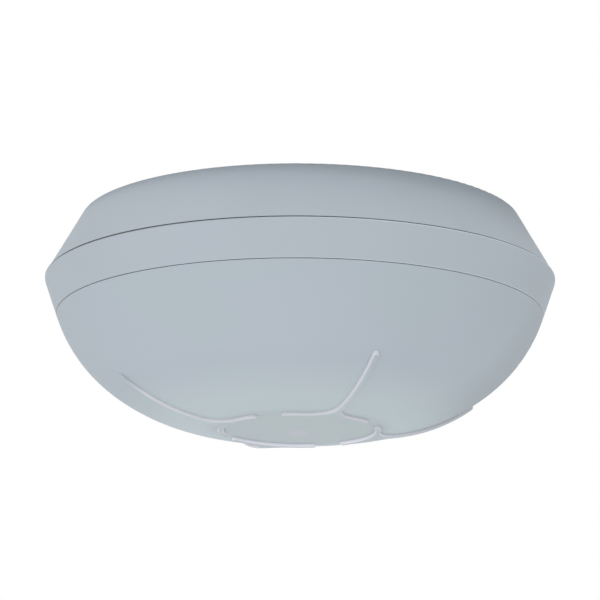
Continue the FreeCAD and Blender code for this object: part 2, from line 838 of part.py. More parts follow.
def build_main_board():
    body = new_body("main_board")
    outline = new_sketch(body, "board_outline", "XY_Plane", board_under)
    circle(outline, ZERO, ZERO, board_radius)
    pad(body, outline, size.board_thickness)
    holes = new_sketch(body, "board_holes", "XY_Plane", -size.board_drop)
    for x, y in board_screw_places:
        circle(holes, x, y, size.board_screw_radius + size.hole_clearance)
    for x, y in turret_screw_places:
        circle(holes, x, y, size.turret_screw_radius + size.hole_clearance)
    for side in (1, -1):
        circle(holes, size.box_screw_spacing / 2 * side, ZERO, size.box_screw_access_radius)
    pocket(body, holes, size.board_thickness * size.overrun_share)
    notch = new_sketch(body, "board_wire_notch", "XY_Plane", -size.board_drop)
    notch_near = terminal_y + size.terminal_depth / 2 + size.board_notch_margin
    depth = board_radius * size.overrun_share - notch_near
    rectangle(notch, ZERO, notch_near + depth / 2, size.board_notch_length, depth)
    pocket(body, notch, size.board_thickness * size.overrun_share)
    return body


def build_board_screws():
    shank = size.board_thickness + size.board_screw_bite
    return screw_group("board_screws", board_screw_places, board_under,
                       (size.board_head_radius, size.board_head_height),
                       (size.board_screw_radius, shank), heads_down=True)


# Sensor turret: hollow square pyramid on a flange, one sloping face for each sensor

def square_sketch(body, name, height, side):
    sketch = new_sketch(body, name, "XY_Plane", height)
    rectangle(sketch, ZERO, ZERO, side, side)
    return sketch


def wedge(body, kind, name, top, first_side, last_side, depth):
    """Add or cut a square block that narrows evenly on its way down from a height."""
    item = body.newObject(kind, name)
    half, last_half = first_side / 2, last_side / 2
    reach = {"Xmin": -half, "Xmax": half, "Zmin": -half, "Zmax": half, "Ymin": ZERO, "Ymax": depth,
             "X2min": -last_half, "X2max": last_half, "Z2min": -last_half, "Z2max": last_half}
    for cell, amount in reach.items():
        setattr(item, cell, amount.value)
        item.setExpression(cell, amount.text)
    upside_down = FreeCAD.Rotation(FreeCAD.Vector(1, 0, 0), -90)
    item.Placement = FreeCAD.Placement(FreeCAD.Vector(0, 0, top.value), upside_down)
    return item


turret_faces = as_size(4)
turret_slope = (size.turret_base_side - size.turret_tip_side) / 2 / (turret_seat - turret_tip)
turret_lean = arc_tangent(turret_slope)


def turret_half_at(height):
    """Half the turret's width at a height below its flange."""
    return size.turret_base_side / 2 - (turret_seat - height) * turret_slope


def build_sensor_turret():
    body = new_body("sensor_turret")
    flange = new_sketch(body, "turret_flange", "XY_Plane", board_under)
    rounded_rectangle(flange, ZERO, ZERO, size.turret_flange_side, size.turret_flange_side,
                      size.turret_flange_corner)
    pad(body, flange, size.turret_flange_thickness, downwards=True)
    wedge(body, "PartDesign::AdditiveWedge", "turret_pyramid", turret_seat, size.turret_base_side,
          size.turret_tip_side, turret_seat - turret_tip)
    document.recompute()
    solid_volume = body.Shape.Volume
    wall_across = size.turret_wall / cosine(turret_lean)
    plate_top = turret_tip + size.turret_tip_plate
    hollow_tip = (turret_half_at(plate_top) - wall_across) * 2
    hollow_seat = (turret_half_at(board_under) - wall_across) * 2
    wedge(body, "PartDesign::SubtractiveWedge", "turret_hollow", board_under, hollow_seat,
          hollow_tip, board_under - plate_top)
    document.recompute()
    if not body.Shape.Volume < solid_volume:
        raise RuntimeError("the turret's hollow cuts nothing")
    shield_hole = size.microwave_shield_side + size.microwave_shield_gap * 2
    pocket(body, square_sketch(body, "turret_shield_hole", turret_tip, shield_hole),
           size.turret_tip_plate * size.overrun_share, along_normal=True)
    holes = new_sketch(body, "turret_screw_holes", "XY_Plane", board_under)
    for x, y in round_places(size.turret_screw_circle, size.turret_screw_count, size.turret_screw_angle):
        circle(holes, x, y, size.turret_screw_radius + size.screw_clearance)
    pocket(body, holes, size.turret_flange_thickness * size.overrun_share)
    pilots = new_sketch(body, "turret_tip_pilots", "XY_Plane", turret_tip)
    for x, y in round_places(size.microwave_screw_circle, size.microwave_screw_count, ZERO):
        circle(pilots, x, y, size.microwave_screw_radius + size.screw_clearance)
    pocket(body, pilots, size.microwave_screw_bite + size.hole_clearance, along_normal=True)

    lead_hole = body.newObject("PartDesign::SubtractiveCylinder", "turret_lead_hole")
    lead_hole.Radius = size.sensor_lead_hole_radius.value
    lead_hole.setExpression("Radius", size.sensor_lead_hole_radius.text)
    lead_hole_depth = wall_across * size.overrun_share
    lead_hole.Height = lead_hole_depth.value * 2
    lead_hole.setExpression("Height", (lead_hole_depth * 2).text)
    lead_hole.Placement = sensor_placement(ZERO, -lead_hole_depth)
    repeat_round(body, "turret_lead_holes", [lead_hole], turret_faces)
    place(body, turn=sensor_turn)
    return body


def sensor_placement(turn, lift):
    """Stand on the middle of a sloping turret face, raised along the face's normal."""
    middle_z = (turret_seat + turret_tip) / 2
    middle_x = turret_half_at(middle_z)
    tilt = FreeCAD.Rotation(FreeCAD.Vector(0, 1, 0), 90 + turret_lean.value)
    spin = FreeCAD.Rotation(FreeCAD.Vector(0, 0, 1), turn.value)
    on_face = FreeCAD.Placement(FreeCAD.Vector(middle_x.value, 0, middle_z.value), tilt)
    raised = FreeCAD.Placement(FreeCAD.Vector(0, 0, lift.value), FreeCAD.Rotation())
    return FreeCAD.Placement(FreeCAD.Vector(), spin) * on_face * raised


def build_turret_screws():
    shank = size.board_thickness + size.turret_screw_bite
    return screw_group("turret_screws", turret_screw_places, -size.board_drop,
                       (size.turret_head_radius, size.turret_head_height),
                       (size.turret_screw_radius, shank), heads_down=False)


# Heat sensors: flanged can with three leads and a recessed filter window

def build_heat_sensor(number, turn):
    body = new_body("heat_sensor_%d" % number)
    prefix = "sensor_%d_" % number
    section = new_sketch(body, prefix + "section", "XZ_Plane")
    closed_outline(section, [
        (ZERO, ZERO), (size.sensor_flange_radius, ZERO),
        (size.sensor_flange_radius, size.sensor_flange_thickness),
        (size.sensor_can_radius, size.sensor_flange_thickness),
        (size.sensor_can_radius, size.sensor_can_height), (ZERO, size.sensor_can_height)])
    revolve(body, section)
    soften(body, prefix + "can_edge", size.small_part_edge,
           circle_at(size.sensor_can_height, size.sensor_can_radius), "PartDesign::Chamfer")
    recess = new_sketch(body, prefix + "recess", "XY_Plane", size.sensor_can_height)
    rectangle(recess, ZERO, ZERO, size.sensor_window_width, size.sensor_window_length)
    pocket(body, recess, size.sensor_window_depth)
    leads = new_sketch(body, prefix + "leads", "XY_Plane")
    for x, y in round_places(size.sensor_lead_circle, size.sensor_lead_count, size.sensor_lead_angle):
        circle(leads, x, y, size.sensor_lead_radius)
    pad(body, leads, size.sensor_lead_length, downwards=True)
    body.Placement = sensor_placement(turn, ZERO)
    return body


def build_filter_window(number, turn):
    body = new_body("filter_window_%d" % number)
    gap = size.sensor_window_gap * 2
    pane = new_sketch(body, "window_%d_outline" % number, "XY_Plane")
    rectangle(pane, ZERO, ZERO, size.sensor_window_width - gap, size.sensor_window_length - gap)
    pad(body, pane, size.sensor_window_depth - size.sensor_window_gap)
    body.Placement = sensor_placement(turn, size.sensor_can_height - size.sensor_window_depth)
    return body


# Microwave unit: board across the turret's tip, can inside it, patches below

def build_microwave_board():
    body = new_body("microwave_board")
    outline = square_sketch(body, "microwave_outline", turret_tip, size.microwave_board_side)
    pad(body, outline, size.microwave_board_thickness, downwards=True)
    holes = new_sketch(body, "microwave_holes", "XY_Plane", turret_tip)
    for x, y in round_places(size.microwave_screw_circle, size.microwave_screw_count, ZERO):
        circle(holes, x, y, size.microwave_screw_radius + size.hole_clearance)
    pocket(body, holes, size.microwave_board_thickness * size.overrun_share)
    place(body, turn=sensor_turn)
    return body


def build_microwave_shield():
    body = new_body("microwave_shield")
    outline = square_sketch(body, "shield_outline", turret_tip, size.microwave_shield_side)
    pad(body, outline, size.microwave_shield_height)
    soften(body, "shield_corners", size.small_part_edge, is_upright)
    inner_side = size.microwave_shield_side - size.microwave_shield_wall * 2
    pocket(body, square_sketch(body, "shield_inside", turret_tip, inner_side),
           size.microwave_shield_height - size.microwave_shield_wall, along_normal=True)
    place(body, turn=sensor_turn)
    return body


def build_antenna_patches():
    body = new_body("antenna_patches")
    patches = new_sketch(body, "patch_outlines", "XY_Plane", microwave_under)
    half = size.antenna_patch_spacing / 2
    for x, y in ((1, 1), (-1, 1), (-1, -1), (1, -1)):
        rectangle(patches, half * x, half * y, size.antenna_patch_side, size.antenna_patch_side)
    pad(body, patches, size.antenna_patch_thickness, downwards=True)
    place(body, turn=sensor_turn)
    return body


def build_microwave_screws():
    shank = size.microwave_board_thickness + size.microwave_screw_bite
    return screw_group("microwave_screws", microwave_screw_places, microwave_under,
                       (size.microwave_head_radius, size.microwave_head_height),
                       (size.microwave_screw_radius, shank), heads_down=True)


# Terminal block beside the wire notch

def build_terminal_block():
    body = new_body("terminal_block")
    length = size.terminal_pitch * size.terminal_count
    outline = new_sketch(body, "terminal_outline", "XY_Plane", board_under)
    rectangle(outline, ZERO, terminal_y, length, size.terminal_depth)
    pad(body, outline, size.terminal_height, downwards=True)
    low = board_under - size.terminal_height
    soften(body, "terminal_bevel", size.terminal_bevel, flat_at(low), "PartDesign::Chamfer")
    front = terminal_y + size.terminal_depth / 2
    mouths = new_sketch(body, "terminal_mouths", "XZ_Plane", -front)
    wells = new_sketch(body, "terminal_wells", "XY_Plane", low)
    for x in row_places(size.terminal_pitch, size.terminal_count):
        rectangle(mouths, x, board_under - size.terminal_mouth_side,
                  size.terminal_mouth_side, size.terminal_mouth_side)
        circle(wells, x, terminal_y, size.terminal_screw_radius + size.hole_clearance)
    pocket(body, mouths, size.terminal_mouth_depth, along_normal=True)
    pocket(body, wells, size.terminal_well_depth, along_normal=True)
    return body


def build_terminal_screws():
    body = new_body("terminal_screws")
    well_floor = board_under - size.terminal_height + size.terminal_well_depth
    heads = new_sketch(body, "terminal_screw_heads", "XY_Plane", well_floor)
    slots = new_sketch(body, "terminal_screw_slots", "XY_Plane", well_floor - size.terminal_screw_height)
    for x in row_places(size.terminal_pitch, size.terminal_count):
        circle(heads, x, terminal_y, size.terminal_screw_radius)
        rectangle(slots, x, terminal_y,
                  size.terminal_screw_radius * 2 * size.slot_long_share,
                  size.terminal_screw_radius * 2 * size.slot_mouth_share)
    pad(body, heads, size.terminal_screw_height, downwards=True)
    pocket(body, slots, size.terminal_screw_height * size.slot_sink_share, along_normal=True)
    return body


# Plain parts soldered to the underside of the board

def build_board_block(name, length, width, height, edge, inset, angle):
    """Make a moulded block with bevelled lower edges and rounded corners."""
    body = new_body(name)
    outline = new_sketch(body, name + "_outline", "XY_Plane", board_under)
    rounded_rectangle(outline, ZERO, ZERO, length, width, edge)
    pad(body, outline, height, downwards=True)
    soften(body, name + "_edges", edge / 2, flat_at(board_under - height), "PartDesign::Chamfer")
    place(body, *on_circle(board_radius - inset, angle))
    return body


def build_capacitor(number):
    """Make a can with a crimped neck near the board and a bevelled end."""
    name = "capacitor_%d" % number
    body = new_body(name)
    end = board_under - size.capacitor_height
    neck = board_under - size.capacitor_neck_height
    neck_half = size.capacitor_neck_depth
    section = new_sketch(body, name + "_section", "XZ_Plane")
    closed_outline(section, [
        (ZERO, board_under), (size.capacitor_radius, board_under),
        (size.capacitor_radius, neck + neck_half),
        (size.capacitor_radius - size.capacitor_neck_depth, neck),
        (size.capacitor_radius, neck - neck_half), (size.capacitor_radius, end), (ZERO, end)])
    revolve(body, section)
    soften(body, name + "_end", size.small_part_edge, circle_at(end, size.capacitor_radius),
           "PartDesign::Chamfer")
    angle = size.capacitor_place_angle + size.capacitor_step_angle * (number - 1)
    place(body, *on_circle(board_radius - size.capacitor_inset, angle))
    return body


# Tamper switch with the plunger that the retainer holds in

tamper_spot = on_circle(retainer_inner + size.tamper_inset, size.tamper_place_angle)


def build_tamper_switch():
    body = new_body("tamper_switch")
    outline = new_sketch(body, "tamper_outline", "XY_Plane", board_under)
    rounded_rectangle(outline, ZERO, ZERO, size.tamper_side, size.tamper_side, size.small_part_edge)
    pad(body, outline, size.tamper_height, downwards=True)
    collar = new_sketch(body, "tamper_collar", "XY_Plane", board_under - size.tamper_height)
    circle(collar, ZERO, ZERO, size.tamper_collar_radius)
    pad(body, collar, size.tamper_collar_height, downwards=True)
    mouth = board_under - size.tamper_height - size.tamper_collar_height
    bore = new_sketch(body, "tamper_bore", "XY_Plane", mouth)
    circle(bore, ZERO, ZERO, size.plunger_radius + size.plunger_fit)
    pocket(body, bore, board_under - size.plunger_floor - mouth, along_normal=True)
    place(body, *tamper_spot, turn=size.tamper_place_angle)
    return body


def build_tamper_plunger():
    body = new_body("tamper_plunger")
    inner_end = board_under - size.plunger_floor - size.plunger_travel_room
    outer_end = retainer_top + size.plunger_gap
    outline = new_sketch(body, "plunger_outline", "XY_Plane", inner_end)
    circle(outline, ZERO, ZERO, size.plunger_radius)
    pad(body, outline, inner_end - outer_end, downwards=True)
    soften(body, "plunger_end", size.small_part_edge, circle_at(outer_end, size.plunger_radius),
           "PartDesign::Chamfer")
    place(body, *tamper_spot)
    return body


# Range trimmer with its slotted rotor

trimmer_spot = on_circle(board_radius - size.trimmer_inset, size.trimmer_place_angle)


def build_range_trimmer():
    body = new_body("range_trimmer")
    outline = new_sketch(body, "trimmer_outline", "XY_Plane", board_under)
    rounded_rectangle(outline, ZERO, ZERO, size.trimmer_side, size.trimmer_side, size.small_part_edge)
    pad(body, outline, size.trimmer_height, downwards=True)
    seat = new_sketch(body, "trimmer_seat", "XY_Plane", board_under - size.trimmer_height)
    circle(seat, ZERO, ZERO, size.rotor_radius + size.rotor_fit)
    pocket(body, seat, size.rotor_height, along_normal=True)
    place(body, *trimmer_spot)
    return body


def build_trimmer_rotor():
    body = new_body("trimmer_rotor")
    seat_floor = board_under - size.trimmer_height + size.rotor_height
    start = seat_floor - size.rotor_seat
    outline = new_sketch(body, "rotor_outline", "XY_Plane", start)
    circle(outline, ZERO, ZERO, size.rotor_radius)
    pad(body, outline, size.rotor_height, downwards=True)
    slot = new_sketch(body, "rotor_slot", "XY_Plane", start - size.rotor_height)
    rectangle(slot, ZERO, ZERO, size.rotor_radius * 2 * size.slot_long_share,
              size.rotor_slot_width)
    pocket(body, slot, size.rotor_slot_depth, along_normal=True)
    place(body, *trimmer_spot)
    return body


# Jumper header with three pins, and the cap over two of them

jumper_spot = on_circle(board_radius - size.jumper_inset, size.jumper_place_angle)


def build_jumper_header():
    body = new_body("jumper_header")
    outline = new_sketch(body, "jumper_base", "XY_Plane", board_under)
    rectangle(outline, ZERO, ZERO, size.jumper_pitch, size.jumper_pitch * size.jumper_pin_count)
    pad(body, outline, size.jumper_base_height, downwards=True)
    pins = new_sketch(body, "jumper_pins", "XY_Plane", board_under - size.jumper_base_height / 2)
    for y in row_places(size.jumper_pitch, size.jumper_pin_count):
        rectangle(pins, ZERO, y, size.jumper_pin_side, size.jumper_pin_side)
    pad(body, pins, size.jumper_pin_height - size.jumper_base_height / 2, downwards=True)
    place(body, *jumper_spot)
    return body


def build_jumper_cap():
    body = new_body("jumper_cap")
    width = size.jumper_pin_side + (size.jumper_cap_gap + size.jumper_cap_wall) * 2
    base = board_under - size.jumper_base_height
    outline = new_sketch(body, "jumper_cap_outline", "XY_Plane", base)
    covered = row_places(size.jumper_pitch, size.jumper_pin_count)[-2:]
    rectangle(outline, ZERO, (covered[0] + covered[1]) / 2, width, width + size.jumper_pitch)
    pad(body, outline, size.jumper_cap_height, downwards=True)
    mouths = new_sketch(body, "jumper_cap_mouths", "XY_Plane", base)
    mouth = size.jumper_pin_side + size.jumper_cap_gap * 2
    for y in covered:
        rectangle(mouths, ZERO, y, mouth, mouth)
    pocket(body, mouths, size.jumper_cap_height * size.overrun_share)
    place(body, *jumper_spot)
    return body


# Walk-test lamps in a row, shining through the dome

def build_walk_test_lamp(colour, step):
    body = new_body("walk_test_lamp_" + colour)
    section = new_sketch(body, colour + "_lamp_section", "XZ_Plane")
    flange = board_under - size.lamp_flange_height
    dome_start = board_under - size.lamp_height + size.lamp_radius
    closed_outline(section, [
        (ZERO, board_under), (size.lamp_flange_radius, board_under), (size.lamp_flange_radius, flange),
        (size.lamp_radius, flange), (size.lamp_radius, dome_start),
        (ZERO, dome_start - size.lamp_radius, size.lamp_radius, -1)])
    revolve(body, section)
    x = size.lamp_spacing * step if step else ZERO
    place(body, x, size.lamp_inset - board_radius)
    return body


def build_all():
    """Build every piece and give them in the order of assembly."""
    pieces = [
        build_mounting_base(), build_main_board(), build_board_screws(), build_sensor_turret(),
        build_turret_screws()]
    for number in range(1, int(turret_faces.value) + 1):
        turn = sensor_turn + as_size(360) / turret_faces * (number - 1)
        pieces.append(build_heat_sensor(number, turn))
        pieces.append(build_filter_window(number, turn))
    pieces += [
        build_microwave_board(), build_microwave_shield(), build_antenna_patches(),
        build_microwave_screws(), build_terminal_block(), build_terminal_screws(),
        build_board_block("alarm_relay", size.relay_length, size.relay_width, size.relay_height,
                          size.small_part_edge * 2, size.relay_inset, size.relay_place_angle),
        build_board_block("controller_chip", size.controller_side, size.controller_side,
                          size.controller_height, size.small_part_edge, size.controller_inset,
                          size.controller_place_angle),
        build_board_block("voltage_regulator", size.regulator_length, size.regulator_width,
                          size.regulator_height, size.small_part_edge, size.regulator_inset,
                          size.regulator_place_angle),
        build_capacitor(1), build_capacitor(2), build_tamper_switch(), build_tamper_plunger(),
        build_range_trimmer(), build_trimmer_rotor(), build_jumper_header(), build_jumper_cap()]
    for step, colour in enumerate(("red", "yellow", "green"), start=-1):
        pieces.append(build_walk_test_lamp(colour, step))
    pieces += [build_cover_ring(), build_lens_dome(), build_lens_retainer(), build_retainer_screws()]
    return pieces


def check_and_write(pieces):
    """Stop on any failed object or bad shape, and then write each piece."""
    for item in document.Objects:
        if "Invalid" in item.State or "Error" in item.State:
            raise RuntimeError("%s failed: %s" % (item.Name, item.State))
    for piece in pieces:
        if piece.Shape.isNull() or not piece.Shape.isValid():
            raise RuntimeError(piece.Label + " has no valid shape")
    os.makedirs("parts", exist_ok=True)
    for piece in pieces:
        piece.Shape.exportStep("parts/%s.step" % piece.Label)
        print("%-24s %9.1f mm3  %d solid(s)" % (piece.Label, piece.Shape.Volume, len(piece.Shape.Solids)))


all_pieces = build_all()
document.recompute()
check_and_write(all_pieces)
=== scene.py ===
import math

import bpy
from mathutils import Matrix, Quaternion, Vector

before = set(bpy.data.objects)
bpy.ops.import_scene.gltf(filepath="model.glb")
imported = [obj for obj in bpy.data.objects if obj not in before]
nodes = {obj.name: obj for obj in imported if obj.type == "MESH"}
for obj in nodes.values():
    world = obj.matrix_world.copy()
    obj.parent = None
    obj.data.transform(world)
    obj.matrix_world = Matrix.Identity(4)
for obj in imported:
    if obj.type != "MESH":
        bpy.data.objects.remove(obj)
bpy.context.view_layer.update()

# Lengths are in metres. X runs to the right in the photo, Y away from its camera and Z up. The
# ceiling face is at height 0 and the dome hangs below it, round the Z axis.

WHITE = (1.0, 1.0, 1.0, 1.0)


# Building blocks of the node trees

def new_material(name):
    """Make a material and give it with its node tree and its principled shader."""
    material = bpy.data.materials.new(name)
    material.use_nodes = True
    tree = material.node_tree
    return material, tree, tree.nodes["Principled BSDF"]


def linear(colour):
    """Turn a colour as seen on a screen, from 0 to 255, into the shader's own numbers."""
    parts = []
    for part in colour:
        part = part / 255.0
        parts.append(part / 12.92 if part <= 0.04045 else ((part + 0.055) / 1.055) ** 2.4)
    return tuple(parts)


def spread(colour, amount):
    """Give a darker and a lighter neighbour of a colour."""
    low = tuple(max(0.0, part * (1 - amount)) for part in colour)
    high = tuple(min(1.0, part * (1 + amount)) for part in colour)
    return low, high


def object_place(tree):
    """Give the place on the object's own axes."""
    return tree.nodes.new("ShaderNodeTexCoord").outputs["Object"]


def axes_of(tree, place):
    """Give the sockets of a place's single axes, X, Y and Z."""
    split = tree.nodes.new("ShaderNodeSeparateXYZ")
    tree.links.new(place, split.inputs["Vector"])
    return split.outputs


def noise(tree, place, scale, *, detail, roughness=0.5):
    """Give soft random blotches, as a factor."""
    texture = tree.nodes.new("ShaderNodeTexNoise")
    texture.inputs["Scale"].default_value = scale
    texture.inputs["Detail"].default_value = detail
    texture.inputs["Roughness"].default_value = roughness
    tree.links.new(place, texture.inputs["Vector"])
    return texture.outputs["Fac"]


def maths(tree, operation, first, second):
    """Join two factors, or a factor and a number, by one operation."""
    item = tree.nodes.new("ShaderNodeMath")
    item.operation = operation
    for socket, part in zip(item.inputs, (first, second)):
        if isinstance(part, (int, float)):
            socket.default_value = part
        else:
            tree.links.new(part, socket)
    return item.outputs["Value"]


def ranged(tree, source, start, end, low=0.0, high=1.0):
    """Stretch a factor from one range to another, and hold it at the ends."""
    item = tree.nodes.new("ShaderNodeMapRange")
    settings = (("From Min", start), ("From Max", end), ("To Min", low), ("To Max", high))
    for name, amount in settings:
        item.inputs[name].default_value = amount
    tree.links.new(source, item.inputs["Value"])
    return item.outputs["Result"]


def ramp(tree, source, stops):
    """Turn a factor into a colour by stops of position and colour."""
    item = tree.nodes.new("ShaderNodeValToRGB")
    elements = item.color_ramp.elements
    for index, (position, colour) in enumerate(stops):
        if index < len(elements):
            element = elements[index]
            element.position = position
        else:
            element = elements.new(position)
        element.color = (*colour, 1.0)
    tree.links.new(source, item.inputs["Fac"])
    return item.outputs["Color"]


def blended(tree, share, first, second):
    """Mix two colours by a factor."""
    item = tree.nodes.new("ShaderNodeMix")
    item.data_type = "RGBA"
    tree.links.new(share, item.inputs["Factor"])
    for name, colour in (("A", first), ("B", second)):
        socket = [s for s in item.inputs if s.name == name and s.type == "RGBA"][0]
        if isinstance(colour, tuple):
            socket.default_value = (*colour, 1.0)
        else:
            tree.links.new(colour, socket)
    return [s for s in item.outputs if s.type == "RGBA"][0]


def scaled(tree, colour, amount):
    """Scale a colour by a factor."""
    item = tree.nodes.new("ShaderNodeVectorMath")
    item.operation = "SCALE"
    tree.links.new(colour, item.inputs[0])
    tree.links.new(amount, item.inputs["Scale"])
    return item.outputs["Vector"]


def tinted(tree, colour, tint):
    """Multiply two colours."""
    item = tree.nodes.new("ShaderNodeVectorMath")
    item.operation = "MULTIPLY"
    tree.links.new(colour, item.inputs[0])
    tree.links.new(tint, item.inputs[1])
    return item.outputs["Vector"]


def span(tree, place, weights, shift=(0.0, 0.0, 0.0)):
    """Give the length of a place after a stretch and a shift along each axis."""
    moved = tree.nodes.new("ShaderNodeVectorMath")
    moved.operation = "MULTIPLY_ADD"
    moved.inputs[1].default_value = weights
    moved.inputs[2].default_value = shift
    tree.links.new(place, moved.inputs[0])
    length = tree.nodes.new("ShaderNodeVectorMath")
    length.operation = "LENGTH"
    tree.links.new(moved.outputs["Vector"], length.inputs[0])
    return length.outputs["Value"]


def add_relief(tree, shader, height, depth):
    """Raise the surface a little in the light, by a factor."""
    bump = tree.nodes.new("ShaderNodeBump")
    bump.inputs["Strength"].default_value = 1.0
    bump.inputs["Distance"].default_value = depth
    tree.links.new(height, bump.inputs["Height"])
    tree.links.new(bump.outputs["Normal"], shader.inputs["Normal"])


# Plastics and metals

DRIFT_SCALE = 28.0                          # slow change of tone
DRIFT_STOPS = (0.3, 0.7)                    # where the darker and the lighter tone are full
GRAIN_SCALE = 1.0 / 0.00025
GRAIN_DEPTH = 0.000008
GRAIN_ROUGH = (0.88, 1.12)                  # least and most of the roughness given


def moulded(name, colour, rough, vary=0.02, metal=0.0, coat=0.0, gloss=0.5):
    """Moulded plastic or plated metal: slow tone drift, fine grain in the gloss and relief."""
    material, tree, shader = new_material(name)
    place = object_place(tree)
    drift = noise(tree, place, DRIFT_SCALE, detail=2.0)
    stops = list(zip(DRIFT_STOPS, spread(colour, vary)))
    tree.links.new(ramp(tree, drift, stops), shader.inputs["Base Color"])
    fine = noise(tree, place, GRAIN_SCALE, detail=3.0, roughness=0.6)
    least, most = (rough * part for part in GRAIN_ROUGH)
    roughness = ranged(tree, fine, 0.0, 1.0, least, min(1.0, most))
    tree.links.new(roughness, shader.inputs["Roughness"])
    add_relief(tree, shader, fine, GRAIN_DEPTH)
    shader.inputs["Metallic"].default_value = metal
    shader.inputs["Coat Weight"].default_value = coat
    shader.inputs["Specular IOR Level"].default_value = gloss
    return material


def lamp_plastic(name, colour):
    """Diffused coloured plastic, glossy outside."""
    material = moulded(name, colour, 0.3, vary=0.06, coat=0.6)
    shader = material.node_tree.nodes["Principled BSDF"]
    shader.inputs["Subsurface Weight"].default_value = 0.3
    shader.inputs["Subsurface Scale"].default_value = 0.001
    return material


LINE_SCALE = 120.0
LINE_DEPTH = 0.00001
LINE_VARY = 0.08
LINE_ROUGH = (0.8, 1.25)


def brushed(name, colour, rough, along=(1.0, 1.0, 40.0)):
    """Plated steel or tin with fine drawn lines, which lie across the axis that is stretched."""
    material, tree, shader = new_material(name)
    stretch = tree.nodes.new("ShaderNodeMapping")
    stretch.inputs["Scale"].default_value = along
    tree.links.new(object_place(tree), stretch.inputs["Vector"])
    lines = noise(tree, stretch.outputs["Vector"], LINE_SCALE, detail=4.0, roughness=0.7)
    stops = list(zip(DRIFT_STOPS, spread(colour, LINE_VARY)))
    tree.links.new(ramp(tree, lines, stops), shader.inputs["Base Color"])
    roughness = ranged(tree, lines, 0.0, 1.0, *(rough * part for part in LINE_ROUGH))
    tree.links.new(roughness, shader.inputs["Roughness"])
    add_relief(tree, shader, lines, LINE_DEPTH)
    shader.inputs["Metallic"].default_value = 1.0
    return material


TRACE_SCALE = 90.0
TRACE_WIDTH = 0.06
TRACE_DEPTH = 0.00003
FIELD_TONES = ((0.0, 0.0, 0.0, 1.0), (0.15, 0.15, 0.15, 1.0))
RESIST_GRAIN_SCALE = 1500.0
RESIST_ROUGH = (0.28, 0.42)


def circuit(name, green, copper):
    """Green solder resist over traces that run in short straight lengths."""
    material, tree, shader = new_material(name)
    place = object_place(tree)
    brick = tree.nodes.new("ShaderNodeTexBrick")
    brick.inputs["Scale"].default_value = TRACE_SCALE
    brick.inputs["Mortar Size"].default_value = TRACE_WIDTH
    brick.inputs["Color1"].default_value, brick.inputs["Color2"].default_value = FIELD_TONES
    brick.inputs["Mortar"].default_value = WHITE
    tree.links.new(place, brick.inputs["Vector"])
    traces = brick.outputs["Color"]
    tree.links.new(blended(tree, traces, green, copper), shader.inputs["Base Color"])
    fine = noise(tree, place, RESIST_GRAIN_SCALE, detail=2.0)
    tree.links.new(ranged(tree, fine, 0.0, 1.0, *RESIST_ROUGH), shader.inputs["Roughness"])
    add_relief(tree, shader, traces, TRACE_DEPTH)
    shader.inputs["Coat Weight"].default_value = 0.3
    return material


# The edges of housing and ring along a seam: painted seam shade, darker at the left, and painted
# light, paler at the right, because the photo's seams fade that way

SEAM_SIDES = (-0.064, 0.02)                 # X of the left and the right amount


def paint_seam_light_and_shade(material, start, end, left, right):
    """Scale the colour between two heights, by an amount that runs from left to right: painted
    shade where it is below one, painted light where it is above one.
    """
    tree = material.node_tree
    colour = tree.nodes["Principled BSDF"].inputs["Base Color"]
    axes = axes_of(tree, object_place(tree))
    near = ranged(tree, axes["Z"], start, end)
    change = ranged(tree, axes["X"], *SEAM_SIDES, left - 1.0, right - 1.0)
    amount = maths(tree, "ADD", maths(tree, "MULTIPLY", near, change), 1.0)
    tree.links.new(scaled(tree, colour.links[0].from_socket, amount), colour)


# Lens dome

LENS_REACH = 0.07                           # radius at which the ramp of tones ends
# Painted light and shade on the dome by radius, with a thin painted shade line at the disc's edge
LENS_LIGHT_AND_SHADE_TONES = (                              # radius, and colour as seen on a screen
    (0.0, (182, 193, 196)), (0.0205, (182, 193, 196)),
    (0.0209, (170, 181, 185)), (0.0213, (184, 195, 199)),
    (0.0232, (182, 193, 197)), (0.026, (188, 200, 205)),
    (0.035, (188, 200, 205)), (0.05, (179, 188, 197)))
LENS_GLOSS = 0.1
LENS_ROUGH = 0.5
RIDGE_ROUGH = 0.36
LENS_GRAIN_SCALE = 5000.0
LENS_GRAIN_DEPTH = 0.000005
LENS_GRAIN_ROUGH = 0.04                     # added to the roughness and taken from it
CLOUD_SCALE = 26.0
CLOUD_STOPS = ((0.36, (0.974, 0.992, 0.972)), (0.64, (1.0, 0.99, 1.0)))

# The painted highlight on the apex disc, a pale spot: an ellipse with half-axes of 3.4 and 5 mm,
# its middle 6.5 mm behind the dome's axis.
PAINTED_HIGHLIGHT_TONE = (189, 194, 202)
PAINTED_HIGHLIGHT_STRETCH = (294.0, 200.0, 0.0)
PAINTED_HIGHLIGHT_SHIFT = (0.03, -1.3, 0.0)
PAINTED_HIGHLIGHT_EDGE = (0.75, 1.1)

# Painted shade: the skin darkens beyond these places, by a share that runs from left to right.
SHADE_BY_Y = (-0.025, 0.009)
SHADE_BY_RADIUS = (0.03, 0.046)
SHADE_SIDES = (-0.05, 0.05)
SHADE_SHARES = (0.06, 0.2)

# The dome's lower curve: the radius and height of its arc's centre, and the arc's own radius.
# What stands higher than this arc is a ridge.
CROWN_CENTRE = (0.0195792, -0.0035994)
CROWN_RADIUS = 0.0553
RIDGE_FOOT = (0.00002, 0.0001)              # the painted ridge highlight starts between these rises
RIDGE_CREST = (0.00082, 0.00097)            # and ends between these
RIDGE_HIGHLIGHT_FADES = ((-0.042, -0.047, 0.1),       # X where the highlight's fade starts and ends, and what is left
               (0.026, 0.036, 0.7))
RIDGE_HIGHLIGHT_TONE = (212, 213, 220)
FAR_ARC_HIGHLIGHT_TONE = (234, 234, 244)              # painted highlight on the ridges round the disc, away from the camera
FAR_ARC_BY_Y = (0.0, 0.016)
FAR_ARC_BY_RADIUS = (0.0235, 0.026)


